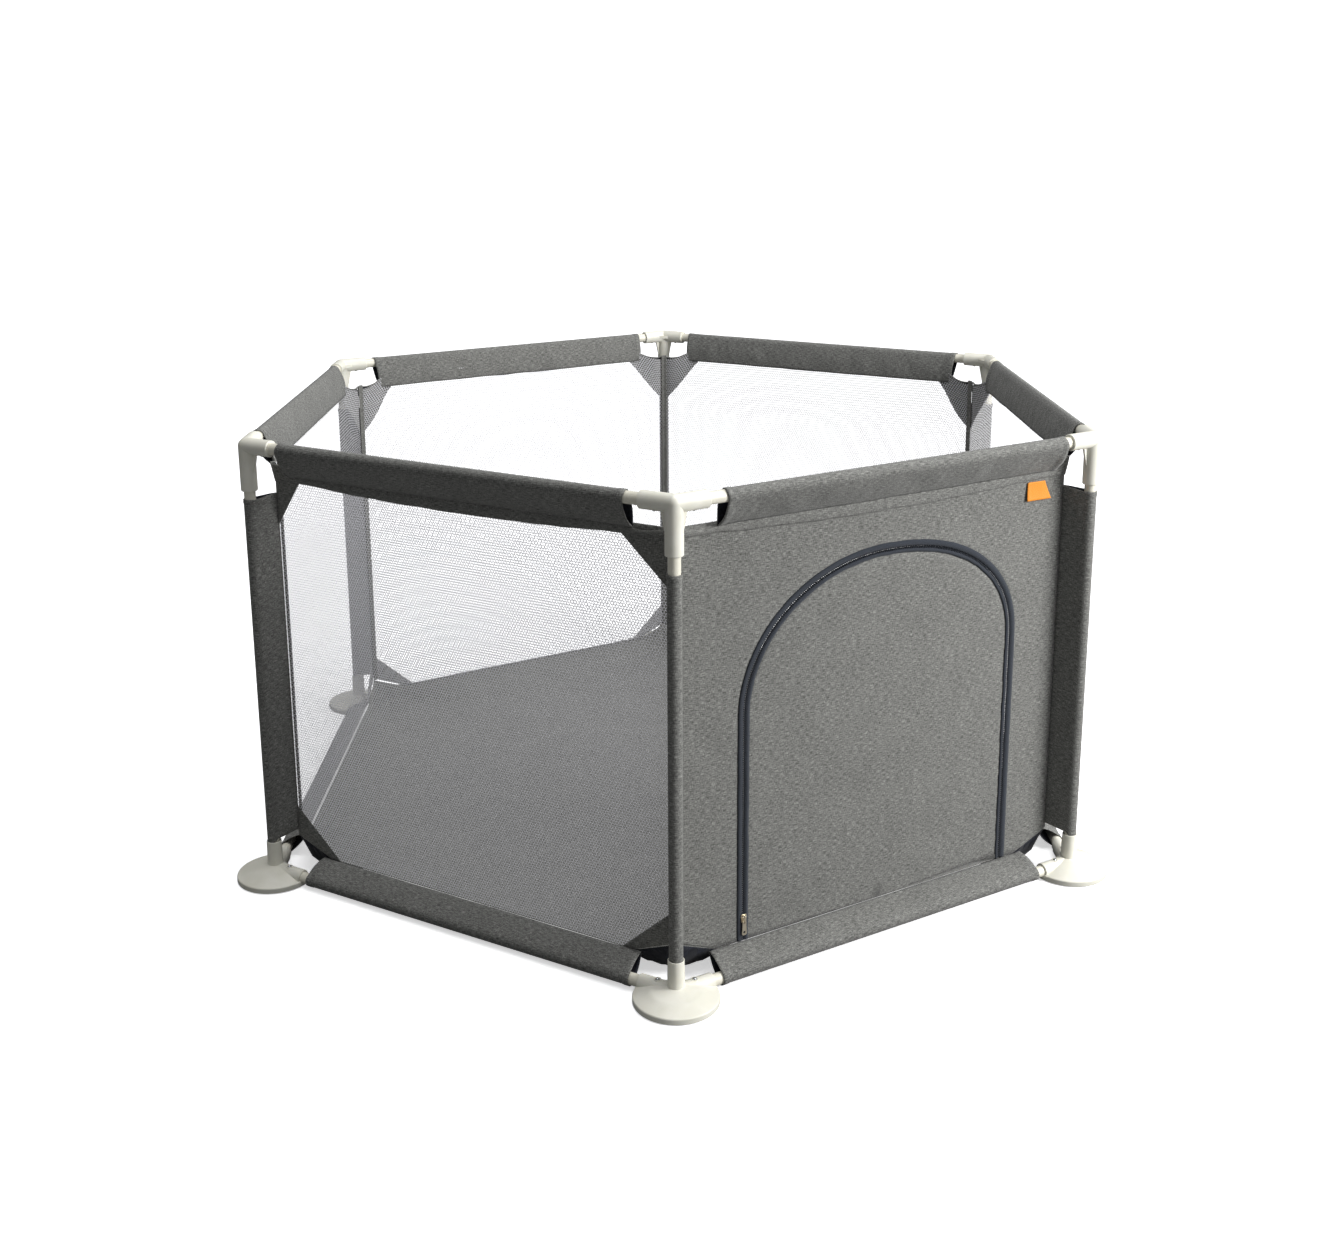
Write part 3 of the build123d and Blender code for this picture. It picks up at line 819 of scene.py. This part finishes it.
# ---- The arched zip --------------------------------------------------------------------------------
def zip_line(foot, offset=0.0, step=1.0 * MM):
    """Points (u, z, outward u, outward z) up the left leg, over the arch and down the right leg."""
    points = []
    half = DOOR_HALF + offset
    quarters = ((-1, LEFT_SPRING, LEFT_SQUARENESS), (1, RIGHT_SPRING, RIGHT_SQUARENESS))
    fine = 240
    for hand, spring, squareness in quarters:
        leg = [(DOOR_MIDDLE + hand * half, foot + (spring - foot) * i / 60) for i in range(60)]
        for i in range(fine + 1):
            turn = math.pi / 2 * i / fine
            across = max(math.cos(turn), 0) ** (2 / squareness)
            up = math.sin(turn) ** (2 / squareness)
            leg.append((DOOR_MIDDLE + hand * half * across, spring + (DOOR_TOP - spring + offset) * up))
        points += leg if hand < 0 else leg[-2::-1]
    spaced = [Vector(points[0])]
    carry = 0.0
    for start, end in zip(points, points[1:]):
        a, b = Vector(start), Vector(end)
        run = (b - a).length
        while carry + step <= run:
            carry += step
            spaced.append(a.lerp(b, carry / run))
        carry -= run
    line = []
    for i, point in enumerate(spaced):
        way = (spaced[min(i + 1, len(spaced) - 1)] - spaced[max(i - 1, 0)]).normalized()
        line.append((point, Vector((-way.y, way.x))))
    return line


ZIP_STEP = 1.0 * MM
ZIP_LINE = zip_line(WALL_FOOT, 0.0, ZIP_STEP)
ZIP_LENGTH = ZIP_STEP * (len(ZIP_LINE) - 1)


def along_zip(distance):
    """The zip's point and outward direction at a distance from the left leg's foot."""
    place = min(max(distance / ZIP_STEP, 0), len(ZIP_LINE) - 1.001)
    index = int(place)
    (a, out_a), (b, out_b) = ZIP_LINE[index], ZIP_LINE[index + 1]
    share = place - index
    return a.lerp(b, share), out_a.lerp(out_b, share).normalized()


def door_wall():
    """The solid wall round the doorway, as rings from the zip's edge out to the wall's outline."""
    angle = SIDES[DOOR_SIDE]
    line = zip_line(WALL_FOOT, FABRIC_EDGE, 8 * MM)
    arch = [point for point, _ in line]
    heart = Vector((DOOR_MIDDLE, WALL_FOOT))
    corners = [Vector(c) for c in WALL_OUTLINE]
    rim = [cast(heart, point, corners) for point in arch]
    rim[0] = corners[0]
    rim[-1] = corners[1]
    for corner in corners[2:]:
        nearest = min(range(1, len(rim) - 1), key=lambda i: (rim[i] - corner).length)
        rim[nearest] = corner
    rings = 14
    bm = bmesh.new()
    rows = [bm.verts.new((*point, 0)) for point in arch]
    edges = [bm.edges.new(pair) for pair in zip(rows, rows[1:])]
    for ring in range(1, rings + 1):
        grown = bmesh.ops.extrude_edge_only(bm, edges=edges)["geom"]
        edges = [g for g in grown if isinstance(g, bmesh.types.BMEdge)]
        verts = {v for e in edges for v in e.verts}
        share = ring / rings
        done = (ring - 1) / rings
        before = {i: inner.lerp(outer, done) for i, (inner, outer) in enumerate(zip(arch, rim))}
        for vert in verts:
            index = min(before, key=lambda i: (before[i] - vert.co.xy).length_squared)
            vert.co = (*arch[index].lerp(rim[index], share), 0)
    mark_cut(bm)
    bmesh.ops.recalc_face_normals(bm, faces=bm.faces)
    shaped(bm, lambda u, z: (WALL_N + wall_bow(u, z, 3) + door_pucker(u, z), u, z))
    obj = piece(bm, "solid_wall", [HEATHER], thickness=1.0 * MM, turn=angle)
    area = outline_area(WALL_OUTLINE) - outline_area([tuple(p) for p in arch])
    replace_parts(obj, "door_wall")
    return obj


def cast(start, through, corners):
    """Where a line from start leaves a convex outline."""
    way = (through - start).normalized()
    best = None
    for a, b in zip(corners, corners[1:] + corners[:1]):
        side = b - a
        cross = way.x * side.y - way.y * side.x
        if abs(cross) < 1e-9:
            continue
        reach = ((a.x - start.x) * side.y - (a.y - start.y) * side.x) / cross
        share = ((a.x - start.x) * way.y - (a.y - start.y) * way.x) / cross
        if reach > 1e-6 and -1e-6 <= share <= 1 + 1e-6:
            best = max(best or 0, reach)
    return start + way * (best or 0.1)


def door_pucker(u, z):
    """Small puckers where the cloth is sewn to the zip."""
    return 0.5 * MM * ripple(u / (22 * MM), z / (26 * MM), 11)


def door_flap():
    """The door's cloth, as rings that shrink from the zip to the middle of its foot."""
    line = zip_line(WALL_FOOT, -FABRIC_EDGE, 8 * MM)
    arch = [point for point, _ in line]
    heart = Vector((DOOR_MIDDLE, WALL_FOOT))
    rings = 40
    bm = bmesh.new()
    rows = [bm.verts.new((*point, 0)) for point in arch]
    edges = [bm.edges.new(pair) for pair in zip(rows, rows[1:])]
    for ring in range(1, rings):
        grown = bmesh.ops.extrude_edge_only(bm, edges=edges)["geom"]
        edges = [g for g in grown if isinstance(g, bmesh.types.BMEdge)]
        verts = list({v for e in edges for v in e.verts})
        shrink = (rings - ring) / (rings - ring + 1)
        space = Matrix.Translation((-heart.x, -heart.y, 0))
        bmesh.ops.scale(bm, vec=(shrink, shrink, 1), space=space, verts=verts)
    last = [v for e in edges for v in e.verts]
    bmesh.ops.pointmerge(bm, verts=list(set(last)), merge_co=(*heart, 0))
    mark_cut(bm)
    bmesh.ops.recalc_face_normals(bm, faces=bm.faces)
    shaped(bm, lambda u, z: (WALL_N + wall_bow(u, z, 3) + door_pucker(u, z), u, z))
    angle = SIDES[DOOR_SIDE]
    obj = piece(bm, "door_cloth", [HEATHER], body=None, thickness=1.0 * MM, turn=angle)
    outline = [tuple(p) for p in arch]
    outline_area(outline)
    fold_across(obj)
    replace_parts(obj, "door_flap")
    return obj


def fold_across(obj):
    """Bakes a piece's placement into its points; it does not bend the piece."""
    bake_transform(obj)


def zip_tape(hand):
    """One tape of the zip, sewn on the outside of the cloth: outside the door (1) or on it (-1)."""
    near, far = 0.4 * MM, (9.5 if hand > 0 else 7.6) * MM
    width = far - near
    bm = cut_cloth(width, ZIP_LENGTH, 3 * MM)
    mark_cut(bm)

    def shape(across, along):
        distance = along + ZIP_LENGTH / 2
        point, outward = along_zip(distance)
        offset = near + across + width / 2
        frayed = ease((offset - near) / width) * ripple(distance / (16 * MM), 0, 5 * hand) * MM
        offset += frayed * (0.3 if hand > 0 else 1.1)
        point = point + outward * offset * hand
        roll = 0.7 * MM * math.sin(math.pi * (offset - near) / width)
        under = 1.6 * MM * (1 - ease((offset - 1.8 * MM) / (1.7 * MM)))
        lift = 1.1 * MM + roll - under + wall_bow(point.x, point.y, 3) + door_pucker(point.x, point.y)
        return (WALL_N + lift, point.x, point.y)

    shaped(bm, shape)
    if hand > 0:
        bmesh.ops.reverse_faces(bm, faces=bm.faces)
    name = "zip_tape_wall" if hand > 0 else "zip_tape_door"
    body = "root" if hand > 0 else None
    obj = piece(bm, name, [TAPE], body=body, thickness=0.5 * MM, turn=SIDES[DOOR_SIDE])
    if hand < 0:
        fold_across(obj)
        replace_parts(obj, "zip_door_side")
    else:
        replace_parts(obj, "zip_wall_side")
    return obj


def zip_coil(hand):
    """One side's nylon coil: each turn is a bead that reaches past the middle between two others."""
    bm = bmesh.new()
    count = int(ZIP_LENGTH / (2 * TOOTH_PITCH))
    for i in range(count):
        distance = (2 * i + (0.5 if hand > 0 else 1.5)) * TOOTH_PITCH
        point, outward = along_zip(distance)
        point = point + outward * hand * 1.2 * MM
        spot = Matrix.Translation((WALL_N + 0.9 * MM + wall_bow(point.x, point.y, 3), point.x, point.y))
        lean = Matrix.Rotation(math.atan2(outward.y, outward.x), 4, "X")
        size = Matrix.Diagonal((1.1 * MM, 2.0 * MM, 0.85 * MM, 1))
        bmesh.ops.create_icosphere(bm, subdivisions=1, radius=1, matrix=spot @ lean @ size)
    name = "zip_coil_wall" if hand > 0 else "zip_coil_door"
    body = "root" if hand > 0 else None
    obj = piece(bm, name, [COIL], body=body, turn=SIDES[DOOR_SIDE])
    if hand < 0:
        fold_across(obj)
    return obj


# ---- Floor -----------------------------------------------------------------------------------------
def floor_cloth():
    """The floor's cloth: hung from the walls' seams and lying slack on the ground inside them."""
    size = 2 * CORNER_R
    bm = cut_cloth(size, size, 9 * MM)
    for angle in SIDES.values():
        way = Vector((math.cos(math.radians(angle)), math.sin(math.radians(angle)), 0))
        bmesh.ops.bisect_plane(
            bm,
            geom=bm.verts[:] + bm.edges[:] + bm.faces[:],
            plane_co=way * (WALL_N - 0.6 * MM),
            plane_no=way,
            clear_outer=True,
        )
    mark_cut(bm)
    ways = [(math.cos(math.radians(a)), math.sin(math.radians(a))) for a in SIDES.values()]

    def shape(x, y):
        reach, u = max((x * c + y * s, abs(y * c - x * s)) for c, s in ways)
        inwards = WALL_N - reach
        lifted = min(1.0, max(0.0, (u + inwards * 0.577 - WALL_HALF + CUT_RUN) / CUT_RUN))
        border = WALL_FOOT + CUT_RISE * lifted - 0.5 * MM
        steep = ease((u + inwards * 0.577 - WALL_HALF + 150 * MM) / (110 * MM))
        slope = 1 - min(1.0, inwards / (FLOOR_SLOPE + (CORNER_SLOPE - FLOOR_SLOPE) * steep))
        z = FLOOR_Z + 1.2 * MM + (border - FLOOR_Z - 1.2 * MM) * slope**1.6
        slack = ease(inwards / (60 * MM))
        ring = math.hypot(x, y)
        waves = ripple(x / (170 * MM), y / (60 * MM), 4) + 0.6 * ripple(x / (70 * MM), y / (120 * MM), 9)
        z += slack * (1.6 + 1.6 * waves + 0.6 * math.sin(ring / (22 * MM))) * MM
        return (x, y, z)

    shaped(bm, shape)
    obj = piece(bm, "floor_sheet", [HEATHER, NAVY], thickness=CLOTH_T)
    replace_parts(obj, "floor_cloth")
    return obj


# ---- Tab -------------------------------------------------------------------------------------------
def label_tab():
    """A folded loop of orange satin tape, sewn in under the welt. It carries no lettering."""
    low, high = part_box("label_tab")
    height = high.z - low.z
    width = TAB_WIDTH
    bm = cut_cloth(width, height, 2 * MM)
    mark_cut(bm)

    def shape(across, along):
        down = 0.5 - along / height
        u = TAB_MIDDLE - 2.5 * MM + (across * (0.88 + 0.38 * down)) + 4.5 * MM * down
        curl = 2.2 * MM * down**2 + 0.5 * MM * math.sin(across / width * math.pi * 1.3)
        return (WALL_N + 2.8 * MM + curl, u, high.z - height * down)

    shaped(bm, shape)
    obj = piece(bm, "orange_tab", [ORANGE], thickness=0.7 * MM, turn=SIDES[DOOR_SIDE])
    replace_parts(obj, "label_tab")
    return obj


# ---- Stage, light and camera -----------------------------------------------------------------------
def stage():
    """A white studio sheet. Looked at directly it is lit like overexposed paper."""
    bm = bmesh.new()
    bmesh.ops.create_circle(bm, cap_ends=True, radius=40, segments=64)
    mesh = bpy.data.meshes.new("studio_floor")
    bm.to_mesh(mesh)
    bm.free()
    floor = bpy.data.objects.new("studio_floor", mesh)
    bpy.context.scene.collection.objects.link(floor)
    material = bpy.data.materials.new("white_studio_sheet")
    material.use_nodes = True
    tree = material.node_tree
    tree.nodes.clear()
    plain = add(tree, "ShaderNodeBsdfDiffuse", {"Color": (0.2, 0.2, 0.2, 1)})
    lit = add(tree, "ShaderNodeBsdfDiffuse", {"Color": (1.1, 1.1, 1.11, 1)})
    paper = add(tree, "ShaderNodeEmission", {"Color": (1, 1, 1, 1), "Strength": 0.55})
    bright = add(tree, "ShaderNodeAddShader", {0: lit.outputs[0], 1: paper.outputs[0]})
    path = add(tree, "ShaderNodeLightPath")
    shown = add(
        tree,
        "ShaderNodeMixShader",
        {0: path.outputs["Is Camera Ray"], 1: plain.outputs[0], 2: bright.outputs[0]},
    )
    add(tree, "ShaderNodeOutputMaterial", {"Surface": shown.outputs[0]})
    mesh.materials.append(material)


def studio_light():
    """A white room, with most of the light from a large softbox at the right."""
    world = bpy.data.worlds.new("white_room")
    bpy.context.scene.world = world
    world.use_nodes = True
    tree = world.node_tree
    tree.nodes.clear()
    way = add(tree, "ShaderNodeSeparateXYZ", {0: add(tree, "ShaderNodeTexCoord").outputs["Generated"]})
    to_right = add(
        tree,
        "ShaderNodeMapRange",
        {"Value": way.outputs["X"], "From Min": -0.5, "From Max": 1, "To Min": 0.16, "To Max": 0.5},
    )
    soft = add(
        tree,
        "ShaderNodeBackground",
        {"Color": (0.96, 0.98, 1, 1), "Strength": to_right.outputs[0]},
    )
    seen = add(tree, "ShaderNodeBackground", {"Color": (1, 1, 1, 1), "Strength": 1.6})
    path = add(tree, "ShaderNodeLightPath")
    mixed = add(
        tree,
        "ShaderNodeMixShader",
        {0: path.outputs["Is Camera Ray"], 1: soft.outputs[0], 2: seen.outputs[0]},
    )
    add(tree, "ShaderNodeOutputWorld", {"Surface": mixed.outputs[0]})
    sun = bpy.data.lights.new("top_light", "SUN")
    sun.angle = math.radians(40)
    sun.energy = 1.5
    place_lamp(sun, (0.15, 0.05, 1.0), (0, 0, 0))
    softboxes = (
        ("key_softbox", (2.4, -1.2, 1.25), (0, 0, 0.3), 1.2, 84),
        ("overhead_fill", (0, -0.1, 1.9), (0, -0.1, 0), 0.9, 6),
    )
    for name, place, target, size, power in softboxes:
        lamp = bpy.data.lights.new(name, "AREA")
        lamp.shape = "DISK"
        lamp.size = size
        lamp.energy = power
        place_lamp(lamp, place, target)


def place_lamp(lamp, place, target):
    obj = bpy.data.objects.new(lamp.name, lamp)
    obj.location = place
    obj.rotation_euler = (Vector(place) - Vector(target)).to_track_quat("Z", "Y").to_euler()
    bpy.context.scene.collection.objects.link(obj)


def camera():
    """A 42 mm lens 2.4 m back and 1.1 m up, looking a little down and shifted like a view camera."""
    lens = bpy.data.cameras.new("camera")
    lens.sensor_width = 36
    lens.lens = 41.85
    lens.shift_x = 0.0082
    lens.shift_y = -0.1117
    lens.clip_start = 0.05
    lens.clip_end = 60
    obj = bpy.data.objects.new("camera", lens)
    obj.location = (-0.0254, -2.4138, 1.0964)
    pitch = math.radians(90 - 13.458)
    obj.rotation_euler = (
        Matrix.Rotation(math.radians(-0.175), 4, "Z")
        @ Matrix.Rotation(pitch, 4, "X")
        @ Matrix.Rotation(math.radians(-0.41), 4, "Z")
    ).to_euler()
    bpy.context.scene.collection.objects.link(obj)
    bpy.context.scene.camera = obj


# ---- Building --------------------------------------------------------------------------------------
finish_frame()
sleeves = []
for side in SIDES:
    reach = SLEEVE_REACH.get(side, EVEN_REACH)
    sleeves.append(rail_sleeve(side, TOP_RAIL_Z, TOP_SEAM, reach, True))
    sleeves.append(rail_sleeve(side, LOW_RAIL_Z, WALL_FOOT, SKIRT_REACH, False))
    top_welt(side)
    if side != DOOR_SIDE:
        mesh_wall(side)
        corner_patches(side)
for sleeve in sleeves:
    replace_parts(sleeve, "rail_sleeves")
for corner in CORNERS:
    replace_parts(pole_sleeve(corner), "pole_sleeves")
    corner_binding(corner)
door_wall()
door_flap()
for hand in (1, -1):
    zip_tape(hand)
    zip_coil(hand)
floor_cloth()
label_tab()
stage()
studio_light()
camera()
bpy.context.scene.view_settings.view_transform = "Standard"
